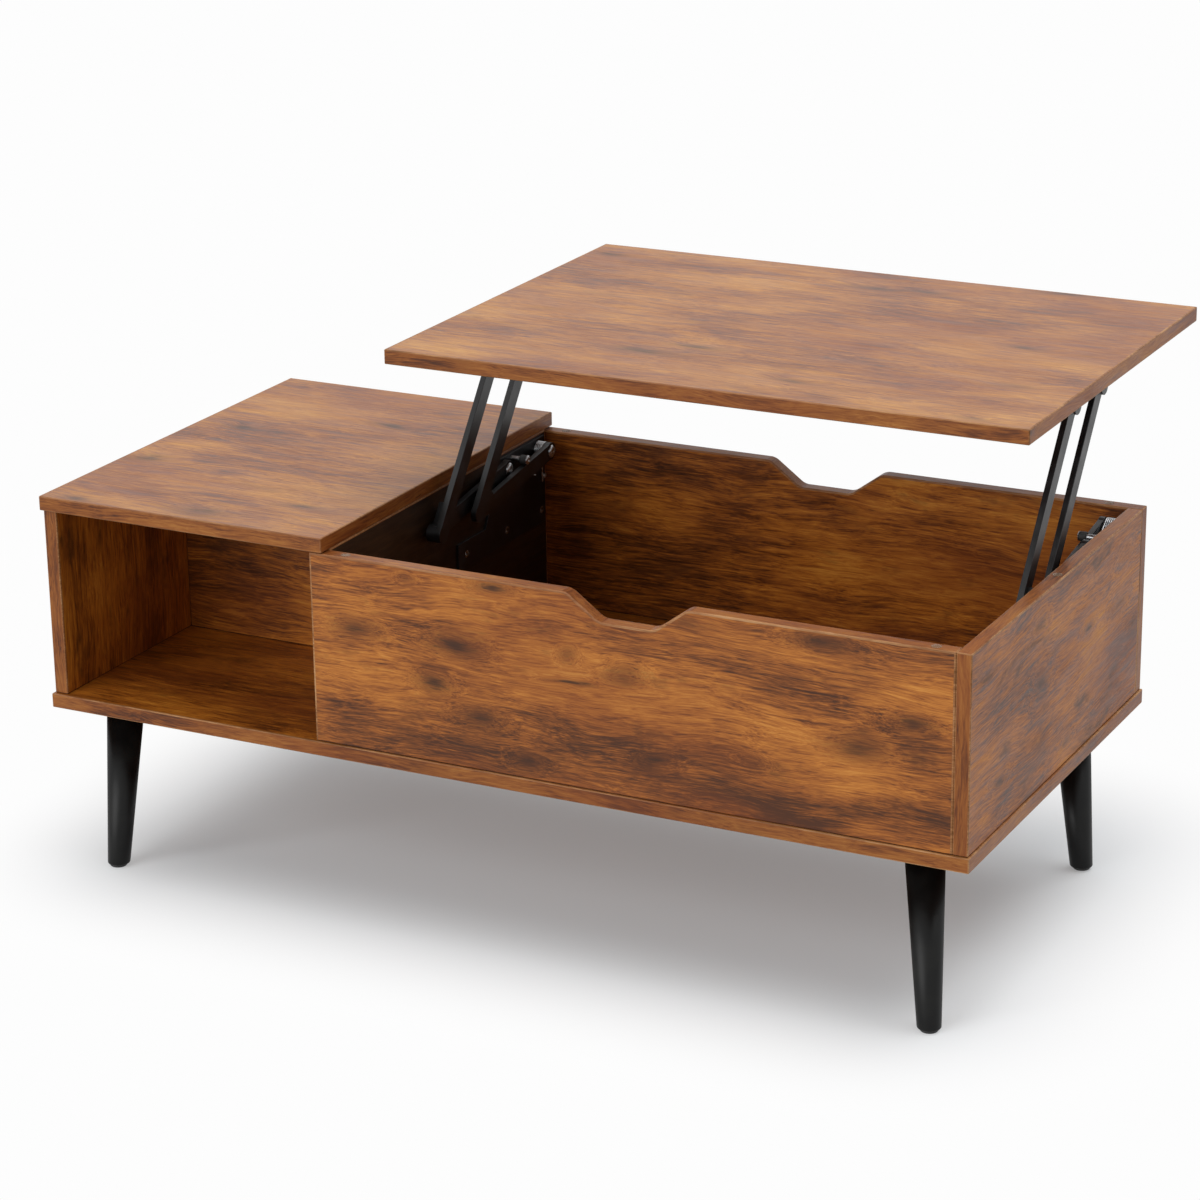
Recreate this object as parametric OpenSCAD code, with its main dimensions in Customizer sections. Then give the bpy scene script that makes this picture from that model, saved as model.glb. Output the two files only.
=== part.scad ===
// Lift top coffee table: a long low case on four splayed legs, with two open shelves at one end and a
// storage well at the other. A pair of folding arms at each side of the well carries the lift top,
// which is drawn raised. All sizes are in millimetres.
//
// The pieces are laid out from the case's front left corner on the floor: X runs along the table, Y
// to the back and Z up. On the way out they are moved so that the origin is on the floor, under the
// middle of the table with its top raised.

/* [Case] */
// Length of the table
case_w = 1000; // [920:10:1200]
// Depth of the table, front to back
case_d = 480; // [470:10:560]
// Height of the closed table
case_h = 405; // [395:5:450]
// Thickness of every board
board_t = 15; // [15:1:18]
// Width of the fixed top board, over the open shelves
shelf_top_w = 329; // [300:1:360]
// How far the panels stand back from the edges of the bottom board
panel_inset = 2; // [1:0.5:4]
// Rounding of the boards' long edges
edge_r = 1.5; // [1:0.5:3]

/* [Hand notch] */
// Width of the notch at the panel's top edge
notch_w = 125; // [110:5:140]
// Depth of the notch
notch_h = 25; // [18:1:30]
// Length of the flat at the bottom of the notch
notch_flat = 57; // [40:1:60]
// Rounding of the notch's corners
notch_r = 14; // [6:1:16]

/* [Legs] */
// Height of the bottom board's underside above the floor
leg_h = 179; // [150:1:190]
// Radius of a leg where it meets the board
leg_top_r = 19.5; // [17:0.5:22]
// Radius of a leg at the floor
leg_foot_r = 11.5; // [10:0.5:14]
// Distance of a leg's top centre from the end of the table
leg_top_in = 60; // [50:1:80]
// Distance that the foot is splayed outwards, along and across the table
leg_splay = 12.5; // [5:0.5:20]

/* [Lift mechanism] */
// Height that the top rises
lift_rise = 157; // [145:1:165]
// Distance that the top moves back as it rises
lift_shift = 128; // [122:1:136]
// Angle of the line between an arm's two pivots when raised, from horizontal
raised_angle = 99.8; // [98.8:0.5:100.8]
// Angle of the arm's long bar when raised, from horizontal
bar_angle = 53; // [51:0.5:55]
// Length of the arm's long bar, from its lower corner to the top pivot
bar_len = 220; // [216:1:222]
// Width of an arm
arm_w = 17; // [14:1:18]
// Thickness of an arm
arm_t = 6; // [5:0.5:6]
// Distance between the front and the rear arm
arm_gap = 76; // [74:1:80]
// Distance of the front arms' lower pivots ahead of the back panel
pivot_ahead = 101; // [99:1:107]
// Depth of the lower pivots below the top boards
pivot_drop = 15; // [14:0.5:17]

/* [Hidden] */
$fn = 48;

wood = "#a5673a";
wood_dark = "#7d4b29";
black_steel = "#1d1d1f";
zinc = "#b4b6b8";
dowel_wood = "#d2ad79";
leg_black = "#242424";
plastic_black = "#161616";
clear_pad = "#dcdcd4";

// Clearances
fit = 0.05;        // a pin, dowel or screw in its hole, on the radius
face_gap = 0.05;   // between faces that slide on each other
stop_gap = 0.3;    // between an arm and the buffer that it rests on
top_gap = 2;       // between the fixed top board and the lift top

// Levels
floor_z = leg_h + board_t;
under_top_z = case_h - board_t;
pad_room = 1;
pad_h = 0.8;
pad_r = 5;
well_top_z = under_top_z - pad_room;

// The case, seen from above
near = panel_inset;
far = case_d - panel_inset;
side_in = near + board_t;
front_in = near + board_t;
back_in = far - board_t;
divider_x = shelf_top_w - board_t;
well_x0 = shelf_top_w;
well_x1 = case_w - panel_inset - board_t;
well_mid_x = (well_x0 + well_x1) / 2;
shelf_back_y = case_d / 2 - board_t / 2;
lift_x0 = shelf_top_w + top_gap;

// Legs
glide_h = 3;
glide_r = 9;
leg_bolt_r = 4;
leg_bolt_up = 12;
leg_bolt_down = 28;
insert_r = 6;
nail_r = 1.5;
nail_h = 12;
leg_side_in = leg_top_in - 16;
leg_spare = 20;
leg_trim_w = 100;

// Dowels and panel screws
dowel_r = 4;
dowel_short = 10;
dowel_long = 20;
dowel_end_gap = 1;
screw_r = 3.1;
screw_head_r = 4.8;
screw_head_h = 3;
screw_len = 48;
panel_screw_in = 90;
side_dowel_in = 60;
divider_dowel_in = 130;
shelf_screw_in = 75;
pad_in = 22;
panel_low_z = floor_z + (well_top_z - floor_z) * 0.3;
panel_high_z = floor_z + (well_top_z - floor_z) * 0.75;
panel_mid = near + board_t / 2;

// Linkage: the front arm's pivots, and how far the arms turn between raised and closed
mean_angle = 180 - atan(lift_shift / lift_rise);
swing = 2 * (mean_angle - raised_angle);
crank = norm([lift_rise, lift_shift]) / (2 * sin(swing / 2));
pivot_z = under_top_z - pivot_drop;
pivot_y = back_in - pivot_ahead;
base_pivot = [pivot_y, pivot_z];
to_top = crank * [cos(raised_angle), sin(raised_angle)];
to_corner = to_top - bar_len * [cos(bar_angle), sin(bar_angle)];
corner_angle = atan2(to_corner[1], to_corner[0]);
top_pivot = base_pivot + to_top;
rear_step = [arm_gap, 0];

// Mechanism, layer by layer from the wall inwards
plate_t = 2.5;
foot_x = well_x0 + plate_t + 2;
bar_x = foot_x + arm_t + 4;
pin_head_h = 2.5;
pin_r = 4;
pin_head_r = 7;
spacer_r = 7;
boss_r = arm_w / 2 + 1;
corner_r = arm_w / 2 + 0.8;
gusset = 34;
top_washer_t = 1.5;
bracket_x = bar_x - top_washer_t - plate_t;
bracket_flange = 30;
bracket_ear = 22;
bracket_fold = 6;
bracket_ear_slope = 5;
bracket_screw_x = 18;
bracket_screw_in = 10;
coil_r = 8.65;
coil_wall = 1.15;
coil_x0 = well_x0 + plate_t + 0.8;
coil_x1 = bar_x - 0.9;
wire_r = 0.9;
spring_leg = 40;
spring_hook_out = 1;
anchor_r = 2;
anchor_drop = 32;
anchor_place = base_pivot + rear_step + [coil_r + wire_r + anchor_r + fit, -anchor_drop];
stop_at = 54;
stop_stud_r = 3;
stop_buffer_r = 5;
stop_off = arm_w / 2 + stop_buffer_r + stop_gap;
plate_drop = 85;
strip_w = 29;
plate_rim = 11;
plate_end = 18;
strip_z0 = pivot_z - plate_drop;
strip_z1 = strip_z0 + strip_w;
plate_screw_z = (strip_z0 + strip_z1) / 2;
plate_top_z = pivot_z + plate_rim;
wood_screw_r = 2;
wood_screw_head_r = 4;
wood_screw_len = 12;
plate_screw_ahead = 80;
plate_screw_behind = 8;
plate_screw_end = 10;

module place() {
    translate([-case_w / 2, -(case_d + lift_shift) / 2, 0])
        children();
}

// A sketch in the Y-Z plane, made t thick from x inwards
module upright(x, t) {
    translate([x, 0, 0])
        rotate([90, 0, 90])
            linear_extrude(t)
                children();
}

// The left side's pieces, or the same on the right
module on_side(right) {
    if (right) {
        translate([2 * well_mid_x, 0, 0])
            mirror([1, 0, 0])
                children();
    } else {
        children();
    }
}

module on_both_sides() {
    on_side(false)
        children();
    on_side(true)
        children();
}

// A board w long, d deep and t thick with rounded long edges, from its low corner
module board(w, d, t, r) {
    rotate([90, 0, 90])
        linear_extrude(w)
            union() {
                translate([r, 0])
                    square([d - 2 * r, t]);
                translate([0, r])
                    square([d, t - 2 * r]);
                for (y = [r, d - r], z = [r, t - r])
                    translate([y, z])
                        circle(r);
            }
}

module panel_z(x, y, w, d, top) {
    translate([x, y, floor_z])
        cube([w, d, top - floor_z]);
}

// ---- Dowels and screws, and the holes for them ----

shelf_screw_xs = [side_in + shelf_screw_in, divider_x - shelf_screw_in];
well_screw_xs = [well_x0 + panel_screw_in, well_mid_x, well_x1 - panel_screw_in];
side_screw_ys = [near + panel_screw_in, far - panel_screw_in];
side_dowel_ys = [near + side_dowel_in, far - side_dowel_in];
divider_dowel_ys = [near + divider_dowel_in, far - divider_dowel_in];
panel_screw_places = concat(
    [for (y = side_screw_ys) [panel_mid, y]],
    [for (y = side_screw_ys) [divider_x + board_t / 2, y]],
    [for (y = side_screw_ys) [well_x1 + board_t / 2, y]],
    [for (x = shelf_screw_xs) [x, case_d / 2]],
    [for (x = well_screw_xs) [x, panel_mid]],
    [for (x = well_screw_xs) [x, case_d - panel_mid]]
);

// Each dowel: middle of the joint, turn, and whether its long end is on the far side
dowel_zs = [panel_low_z, panel_high_z];
along_x = [0, 90, 0];
along_y = [-90, 0, 0];
upwards = [0, 0, 0];
dowel_places = concat(
    [for (z = dowel_zs) [[side_in, case_d / 2, z], along_x, 1]],
    [for (z = dowel_zs) [[divider_x, case_d / 2, z], along_x, 0]],
    [for (z = dowel_zs) [[well_x1, panel_mid, z], along_x, 0]],
    [for (z = dowel_zs) [[divider_x + board_t / 2, front_in, z], along_y, 1]],
    [for (z = dowel_zs) [[divider_x + board_t / 2, back_in, z], along_y, 0]],
    [for (z = dowel_zs) [[well_x1 + board_t / 2, back_in, z], along_y, 0]],
    [for (y = side_dowel_ys) [[panel_mid, y, under_top_z], upwards, 0]],
    [for (y = divider_dowel_ys) [[divider_x + board_t / 2, y, under_top_z], upwards, 0]],
    [[[(side_in + divider_x) / 2, case_d / 2, under_top_z], upwards, 0]]
);

module dowel_set(grow, lengthen) {
    for (p = dowel_places) {
        low = (p[2] == 1 ? dowel_short : dowel_long) + lengthen;
        high = (p[2] == 1 ? dowel_long : dowel_short) + lengthen;
        translate(p[0])
            rotate(p[1])
                translate([0, 0, -low])
                    cylinder(h = low + high, r = dowel_r + grow);
    }
}

module panel_screw_set(grow, lengthen) {
    for (p = panel_screw_places)
        translate([p[0], p[1], leg_h]) {
            cylinder(h = screw_head_h, r = screw_head_r + grow);
            cylinder(h = screw_len + lengthen, r = screw_r + grow);
        }
}

// Screws that hold a base plate to its wall
plate_screw_ys = [
    pivot_y - plate_screw_ahead, pivot_y + plate_screw_behind,
    pivot_y + arm_gap + plate_screw_end
];

module plate_screw_set(grow, lengthen) {
    for (y = plate_screw_ys)
        translate([well_x0 + plate_t, y, plate_screw_z])
            rotate([0, -90, 0])
                wood_screw(grow, lengthen);
}

// Screws that hold a top bracket to the lift top
lift_under_z = under_top_z + lift_rise;
bracket_z = lift_under_z - plate_t;
bracket_y0 = top_pivot[0] - bracket_ear;
bracket_y1 = top_pivot[0] + arm_gap + bracket_ear;
bracket_screw_ys = [
    bracket_y0 + bracket_screw_in, (bracket_y0 + bracket_y1) / 2, bracket_y1 - bracket_screw_in
];

module bracket_screw_set(grow, lengthen) {
    for (y = bracket_screw_ys)
        translate([bracket_x + bracket_screw_x, y, bracket_z])
            wood_screw(grow, lengthen);
}

// A countersunk screw with its head's flat face at the origin, pointing up
module wood_screw(grow, lengthen) {
    cone_h = wood_screw_head_r - wood_screw_r;
    cylinder(h = cone_h, r1 = wood_screw_head_r + grow, r2 = wood_screw_r + grow);
    cylinder(h = plate_t + wood_screw_len + lengthen, r = wood_screw_r + grow);
}

module all_holes() {
    dowel_set(fit, dowel_end_gap);
    panel_screw_set(fit, dowel_end_gap);
}

// ---- Case ----

module bottom_board() {
    color(wood)
        place()
            difference() {
                translate([0, 0, leg_h])
                    board(case_w, case_d, board_t, 2 * edge_r);
                panel_screw_set(fit, dowel_end_gap);
                for (p = leg_tops)
                    translate([p[0], p[1], leg_h - 1])
                        cylinder(h = leg_bolt_up + 2, r = insert_r + fit);
            }
}

module left_side_panel() {
    color(wood)
        place()
            difference() {
                panel_z(near, 2 * near, board_t, case_d - 4 * near, under_top_z);
                all_holes();
            }
}

module divider_panel() {
    color(wood_dark)
        place()
            difference() {
                panel_z(divider_x, front_in, board_t, back_in - front_in, under_top_z);
                all_holes();
                plate_screw_set(fit, dowel_end_gap);
            }
}

module right_side_panel() {
    color(wood)
        place()
            difference() {
                panel_z(well_x1, near, board_t, back_in - near, well_top_z);
                all_holes();
                on_side(true)
                    plate_screw_set(fit, dowel_end_gap);
            }
}

// Points of an arc of radius r that rounds the corner b between a and c
function corner_arc(a, b, c, r) =
    let (
        u = (a - b) / norm(a - b),
        v = (c - b) / norm(c - b),
        half = acos(u * v) / 2,
        mid = b + (u + v) / norm(u + v) * r / sin(half),
        p = b + u * r / tan(half) - mid,
        q = b + v * r / tan(half) - mid,
        turn = atan2(p[0] * q[1] - p[1] * q[0], p * q)
    )
    [for (k = [0 : 8]) let (s = turn * k / 8) mid + [
        p[0] * cos(s) - p[1] * sin(s),
        p[0] * sin(s) + p[1] * cos(s)
    ]];

// The front of a well panel: a rectangle with the hand notch in its top edge
module notched_outline(w, h, mid) {
    bends = [
        [w, h], [mid + notch_w / 2, h], [mid + notch_flat / 2, h - notch_h],
        [mid - notch_flat / 2, h - notch_h], [mid - notch_w / 2, h], [0, h]
    ];
    rounded = [for (i = [1 : 4]) each corner_arc(bends[i - 1], bends[i], bends[i + 1], notch_r)];
    polygon(concat([[0, 0], [w, 0], [w, h]], rounded, [[0, h]]));
}

module well_panel(y, x1) {
    translate([divider_x, y + board_t, floor_z])
        rotate([90, 0, 0])
            linear_extrude(board_t)
                notched_outline(x1 - divider_x, well_top_z - floor_z, well_mid_x - divider_x);
}

module front_panel() {
    color(wood)
        place()
            difference() {
                well_panel(near, well_x1);
                all_holes();
            }
}

module back_panel() {
    color(wood)
        place()
            difference() {
                well_panel(back_in, case_w - panel_inset);
                all_holes();
            }
}

module shelf_back_panel() {
    color(wood_dark)
        place()
            difference() {
                panel_z(side_in, shelf_back_y, divider_x - side_in, board_t, under_top_z);
                all_holes();
            }
}

module left_top_board() {
    color(wood)
        place()
            difference() {
                translate([0, 0, under_top_z])
                    board(shelf_top_w, case_d, board_t, edge_r);
                all_holes();
            }
}

// ---- Legs ----

function leg_place(right, rear, in_x, in_y) = [
    right ? case_w - in_x : in_x,
    rear ? case_d - in_y : in_y
];
function leg_top(right, rear) = leg_place(right, rear, leg_top_in, leg_side_in);
function leg_foot(right, rear) =
    leg_place(right, rear, leg_top_in - leg_splay, leg_side_in - leg_splay);
leg_tops = [for (right = [false, true], rear = [false, true]) leg_top(right, rear)];
leg_feet = [for (right = [false, true], rear = [false, true]) leg_foot(right, rear)];

module leg(right, rear) {
    foot = leg_foot(right, rear);
    top = leg_top(right, rear);
    lean = [top[0] - foot[0], top[1] - foot[1], leg_h];
    taper = (leg_top_r - leg_foot_r) / norm(lean);
    color(leg_black)
        place()
            difference() {
                intersection() {
                    translate([foot[0], foot[1], 0])
                        rotate([0, acos(lean[2] / norm(lean)), atan2(lean[1], lean[0])])
                            translate([0, 0, -leg_spare])
                                cylinder(
                                    h = norm(lean) + 2 * leg_spare,
                                    r1 = leg_foot_r - taper * leg_spare,
                                    r2 = leg_top_r + taper * leg_spare,
                                    $fn = 96
                                );
                    translate([foot[0] - leg_trim_w / 2, foot[1] - leg_trim_w / 2, glide_h])
                        cube([leg_trim_w, leg_trim_w, leg_h - glide_h]);
                }
                translate([top[0], top[1], leg_h - leg_bolt_down - 1])
                    cylinder(h = leg_bolt_down + 2, r = leg_bolt_r + fit);
                translate([foot[0], foot[1], 0])
                    cylinder(h = glide_h + nail_h + 1, r = nail_r + fit);
            }
}

module front_left_leg() {
    leg(false, false);
}

module front_right_leg() {
    leg(true, false);
}

module rear_left_leg() {
    leg(false, true);
}

module rear_right_leg() {
    leg(true, true);
}

module foot_glides() {
    color(plastic_black)
        place()
            for (p = leg_feet)
                translate([p[0], p[1], 0]) {
                    cylinder(h = glide_h, r = glide_r);
                    cylinder(h = glide_h + nail_h, r = nail_r);
                }
}

module leg_bolts() {
    color(zinc)
        place()
            for (p = leg_tops)
                translate([p[0], p[1], leg_h - leg_bolt_down])
                    cylinder(h = leg_bolt_down + leg_bolt_up, r = leg_bolt_r);
}

module leg_inserts() {
    color(zinc)
        place()
            for (p = leg_tops)
                translate([p[0], p[1], leg_h])
                    difference() {
                        cylinder(h = leg_bolt_up, r = insert_r);
                        translate([0, 0, -1])
                            cylinder(h = leg_bolt_up + 2, r = leg_bolt_r + fit);
                    }
}

// ---- Fixings of the case ----

module panel_screws() {
    color(zinc)
        place()
            panel_screw_set(0, 0);
}

module dowels() {
    color(dowel_wood)
        place()
            dowel_set(0, 0);
}

// Pads on the well's rim, for the closed top to rest on
module bumper_pads() {
    color(clear_pad)
        place()
            for (p = [
                [well_x0 + pad_in, panel_mid], [well_x1 - pad_in, panel_mid],
                [well_x0 + pad_in, case_d - panel_mid], [well_x1 - pad_in, case_d - panel_mid],
                [well_x1 + board_t / 2, case_d / 2]
            ])
                translate([p[0], p[1], well_top_z])
                    cylinder(h = pad_h, r = pad_r);
}

// ---- Lift mechanism: base plates ----

// A flat bar between two points
module bar(a, b, w) {
    d = b - a;
    translate(a)
        rotate(atan2(d[1], d[0]))
            translate([0, -w / 2])
                square([norm(d), w]);
}

stop_dir = [cos(corner_angle), sin(corner_angle)];
stop_up = [stop_dir[1], -stop_dir[0]];
stop_place = base_pivot + rear_step + stop_at * stop_dir + stop_off * stop_up;
plate_front_y = pivot_y - plate_screw_ahead - plate_end;
plate_rear_y = pivot_y + arm_gap + plate_end;

module base_plate_outline() {
    polygon([
        [plate_front_y, strip_z0], [plate_rear_y, strip_z0], [plate_rear_y, plate_top_z],
        [pivot_y - plate_end, plate_top_z], [pivot_y - plate_end, pivot_z - plate_end],
        [pivot_y - 2.2 * plate_end, strip_z1], [plate_front_y, strip_z1]
    ]);
}

module base_plate(right) {
    color(black_steel)
        place()
            on_side(right)
                difference() {
                    upright(well_x0, plate_t)
                        difference() {
                            base_plate_outline();
                            for (p = [base_pivot, base_pivot + rear_step])
                                translate(p)
                                    circle(pin_r + fit);
                            translate(stop_place)
                                circle(stop_stud_r + fit);
                            translate(anchor_place)
                                circle(anchor_r + fit);
                        }
                    plate_screw_set(fit, 0);
                }
}

module left_base_plate() {
    base_plate(false);
}

module right_base_plate() {
    base_plate(true);
}

module base_plate_screws() {
    color(zinc)
        place()
            on_both_sides()
                plate_screw_set(0, 0);
}

// A headed pin along X from x0, with its head beyond x1
module headed_pin(p, x0, x1, r, head_r, head_h) {
    upright(x0, x1 - x0 + head_h)
        translate(p)
            circle(r);
    upright(x1, head_h)
        translate(p)
            circle(head_r);
}

// A ring round a pin, from x0 to x1
module ring(p, x0, x1, r, bore) {
    upright(x0, x1 - x0)
        translate(p)
            difference() {
                circle(r);
                circle(bore + fit);
            }
}

module front_base_pins() {
    color(zinc)
        place()
            on_both_sides()
                headed_pin(base_pivot, well_x0, foot_x + arm_t + face_gap, pin_r, pin_head_r, pin_head_h);
}

module rear_base_pins() {
    color(zinc)
        place()
            on_both_sides()
                headed_pin(
                    base_pivot + rear_step, well_x0, bar_x + arm_t + face_gap,
                    pin_r, pin_head_r, pin_head_h
                );
}

module front_base_washers() {
    color(zinc)
        place()
            on_both_sides()
                ring(base_pivot, well_x0 + plate_t, foot_x - face_gap, spacer_r, pin_r);
}

module rear_base_spacers() {
    color(zinc)
        place()
            on_both_sides()
                ring(
                    base_pivot + rear_step, well_x0 + plate_t, bar_x - face_gap,
                    spacer_r, pin_r
                );
}

module stop_studs() {
    color(zinc)
        place()
            on_both_sides()
                headed_pin(
                    stop_place, well_x0, bar_x + arm_t + 1,
                    stop_stud_r, stop_buffer_r, 1.5
                );
}

module stop_buffers() {
    color(plastic_black)
        place()
            on_both_sides()
                ring(
                    stop_place, bar_x - 1, bar_x + arm_t + 1,
                    stop_buffer_r, stop_stud_r
                );
}

// Studs in the base plates that the springs' fixed legs press on
module spring_anchors() {
    color(zinc)
        place()
            on_both_sides()
                headed_pin(
                    anchor_place, well_x0, coil_x0 + 2 * wire_r + 1, anchor_r, 1.5 * anchor_r, 1
                );
}

// ---- Lift mechanism: springs, arms and brackets ----

// A torsion spring round a rear spacer. One leg runs down to the anchor. The other leaves the top
// of the coil, crosses the arm's foot and ends in a hook under it.
module spring(right) {
    middle = base_pivot + rear_step;
    down_leg = coil_x0 + wire_r + 0.2;
    arm_leg = coil_x1 - wire_r - 0.2;
    hook_r = 1.2 * wire_r;
    hook_off = arm_w / 2 + hook_r + fit;
    hook_len = arm_t + bar_x - arm_leg + spring_hook_out;
    hook_reach = norm([spring_leg, hook_off]);
    leg_turn = atan(hook_off / spring_leg) - acos(coil_r / hook_reach);
    color(zinc)
        place()
            on_side(right)
                union() {
                    ring(middle, coil_x0, coil_x1, coil_r + coil_wall, coil_r - coil_wall - fit);
                    translate([down_leg, middle[0] + coil_r, middle[1] - anchor_drop - 6])
                        cylinder(h = anchor_drop + 6, r = wire_r);
                    translate([arm_leg, middle[0], middle[1]])
                        rotate([corner_angle, 0, 0]) {
                            rotate([leg_turn, 0, 0])
                                translate([0, coil_r, 0])
                                    cylinder(h = sqrt(hook_reach ^ 2 - coil_r ^ 2), r = wire_r);
                            translate([-wire_r - fit, spring_leg, hook_off])
                                rotate([0, 90, 0])
                                    cylinder(h = hook_len, r = hook_r);
                        }
                }
}

module left_spring() {
    spring(false);
}

module right_spring() {
    spring(true);
}

// An arm about its lower pivot: a foot that runs forward to a corner, and the long bar up from it
module arm_foot() {
    bar([0, 0], to_corner, arm_w);
    circle(boss_r);
}

module arm_corner() {
    along_foot = -to_corner / norm(to_corner);
    along_bar = (to_top - to_corner) / norm(to_top - to_corner);
    translate(to_corner)
        circle(corner_r);
    polygon([to_corner, to_corner + gusset * along_foot, to_corner + gusset * along_bar]);
}

module arm_bar() {
    bar(to_corner, to_top, arm_w);
    translate(to_top)
        circle(boss_r);
}

module arm_holes() {
    circle(pin_r + fit);
    translate(to_top)
        circle(pin_r + fit);
}

// The front arm's foot lies nearer the wall than its long bar, because the rear arm crosses the
// foot when the top is closed. A block at the corner joins the two.
module front_arm(right) {
    color(black_steel)
        place()
            on_side(right)
                difference() {
                    union() {
                        upright(foot_x, arm_t)
                            translate(base_pivot)
                                arm_foot();
                        upright(foot_x, bar_x + arm_t - foot_x)
                            translate(base_pivot)
                                arm_corner();
                        upright(bar_x, arm_t)
                            translate(base_pivot)
                                arm_bar();
                    }
                    upright(foot_x - 1, bar_x + arm_t - foot_x + 2)
                        translate(base_pivot)
                            arm_holes();
                }
}

module rear_arm(right) {
    color(black_steel)
        place()
            on_side(right)
                upright(bar_x, arm_t)
                    translate(base_pivot + rear_step)
                        difference() {
                            union() {
                                arm_foot();
                                arm_corner();
                                arm_bar();
                            }
                            arm_holes();
                        }
}

module left_front_arm() {
    front_arm(false);
}

module right_front_arm() {
    front_arm(true);
}

module left_rear_arm() {
    rear_arm(false);
}

module right_rear_arm() {
    rear_arm(true);
}

// A folded steel bracket: a flange under the lift top, a lip, and an ear down to each top pivot
module top_bracket(right) {
    rear_pivot = top_pivot + rear_step;
    color(black_steel)
        place()
            on_side(right) {
                difference() {
                    translate([bracket_x, bracket_y0, bracket_z])
                        cube([bracket_flange, bracket_y1 - bracket_y0, plate_t]);
                    bracket_screw_set(fit, 0);
                }
                upright(bracket_x, plate_t)
                    difference() {
                        union() {
                            translate([bracket_y0, bracket_z - bracket_fold])
                                square([bracket_y1 - bracket_y0, bracket_fold + plate_t]);
                            for (p = [top_pivot, rear_pivot]) {
                                polygon([
                                    [p[0] - boss_r - bracket_ear_slope, bracket_z],
                                    [p[0] - boss_r, p[1]], [p[0] + boss_r, p[1]],
                                    [p[0] + boss_r + bracket_ear_slope, bracket_z]
                                ]);
                                translate(p)
                                    circle(boss_r);
                            }
                        }
                        for (p = [top_pivot, rear_pivot])
                            translate(p)
                                circle(pin_r + fit);
                    }
            }
}

module left_top_bracket() {
    top_bracket(false);
}

module right_top_bracket() {
    top_bracket(true);
}

module front_top_pins() {
    color(zinc)
        place()
            on_both_sides()
                headed_pin(
                    top_pivot, bracket_x, bar_x + arm_t + face_gap, pin_r, pin_head_r, pin_head_h
                );
}

module rear_top_pins() {
    color(zinc)
        place()
            on_both_sides()
                headed_pin(
                    top_pivot + rear_step, bracket_x, bar_x + arm_t + face_gap,
                    pin_r, pin_head_r, pin_head_h
                );
}

module front_top_washers() {
    color(zinc)
        place()
            on_both_sides()
                ring(top_pivot, bracket_x + plate_t, bar_x - face_gap, spacer_r, pin_r);
}

module rear_top_washers() {
    color(zinc)
        place()
            on_both_sides()
                ring(
                    top_pivot + rear_step, bracket_x + plate_t, bar_x - face_gap,
                    spacer_r, pin_r
                );
}

// ---- Lift top ----

module lift_top() {
    color(wood)
        place()
            difference() {
                translate([lift_x0, lift_shift, lift_under_z])
                    board(case_w - lift_x0, case_d, board_t, edge_r);
                on_both_sides()
                    bracket_screw_set(fit, dowel_end_gap);
            }
}

module bracket_screws() {
    color(zinc)
        place()
            on_both_sides()
                bracket_screw_set(0, 0);
}

bottom_board();
left_side_panel();
divider_panel();
right_side_panel();
front_panel();
back_panel();
shelf_back_panel();
left_top_board();
front_left_leg();
front_right_leg();
rear_left_leg();
rear_right_leg();
foot_glides();
leg_bolts();
leg_inserts();
panel_screws();
dowels();
bumper_pads();
left_base_plate();
right_base_plate();
base_plate_screws();
front_base_pins();
rear_base_pins();
front_base_washers();
rear_base_spacers();
stop_studs();
stop_buffers();
spring_anchors();
left_spring();
right_spring();
left_front_arm();
right_front_arm();
left_rear_arm();
right_rear_arm();
lift_top();
left_top_bracket();
right_top_bracket();
bracket_screws();
front_top_pins();
rear_top_pins();
front_top_washers();
rear_top_washers();
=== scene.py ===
# %% [markdown]
# # A lift top coffee table, dressed
# The table is built from particle board under a printed wood laminate. Its larger top rises and
# swings back on two pairs of black steel arms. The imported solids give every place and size, so each
# step below asks the frame where a part is and then shapes a better looking one there.

# %% Load the fixed frame
import math

import bmesh
import bpy
from mathutils import Matrix, Vector


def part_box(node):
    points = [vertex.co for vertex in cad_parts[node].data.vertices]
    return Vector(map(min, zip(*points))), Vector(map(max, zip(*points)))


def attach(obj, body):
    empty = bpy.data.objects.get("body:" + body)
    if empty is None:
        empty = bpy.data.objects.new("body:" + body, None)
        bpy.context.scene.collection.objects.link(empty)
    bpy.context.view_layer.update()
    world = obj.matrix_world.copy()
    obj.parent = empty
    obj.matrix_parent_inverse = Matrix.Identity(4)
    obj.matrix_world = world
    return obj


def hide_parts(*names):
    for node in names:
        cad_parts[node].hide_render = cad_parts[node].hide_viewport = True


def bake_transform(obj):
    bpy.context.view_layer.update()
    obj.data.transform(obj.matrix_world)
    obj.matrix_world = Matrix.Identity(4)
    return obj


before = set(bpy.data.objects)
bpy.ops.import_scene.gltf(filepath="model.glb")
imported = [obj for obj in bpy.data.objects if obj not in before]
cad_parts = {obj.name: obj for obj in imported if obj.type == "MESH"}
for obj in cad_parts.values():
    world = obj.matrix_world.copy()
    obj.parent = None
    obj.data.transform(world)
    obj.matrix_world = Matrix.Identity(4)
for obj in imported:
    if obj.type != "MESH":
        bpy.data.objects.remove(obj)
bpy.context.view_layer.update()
MM = 0.001

# %% [markdown]
# ## Camera, floor and light
# Such a table is shown from a little above, from its right, with a long lens that keeps the edges
# nearly parallel. The camera is built from three turns about its own place: yaw, pitch and roll.

# %% The camera
CAMERA_AT = Vector((1.55622, -3.07709, 1.47432))
YAW, PITCH, ROLL = (math.radians(a) for a in (27.209, -19.223, -0.792))
SENSOR_WIDE, FOCAL_LENGTH = 36, 106.94

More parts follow.
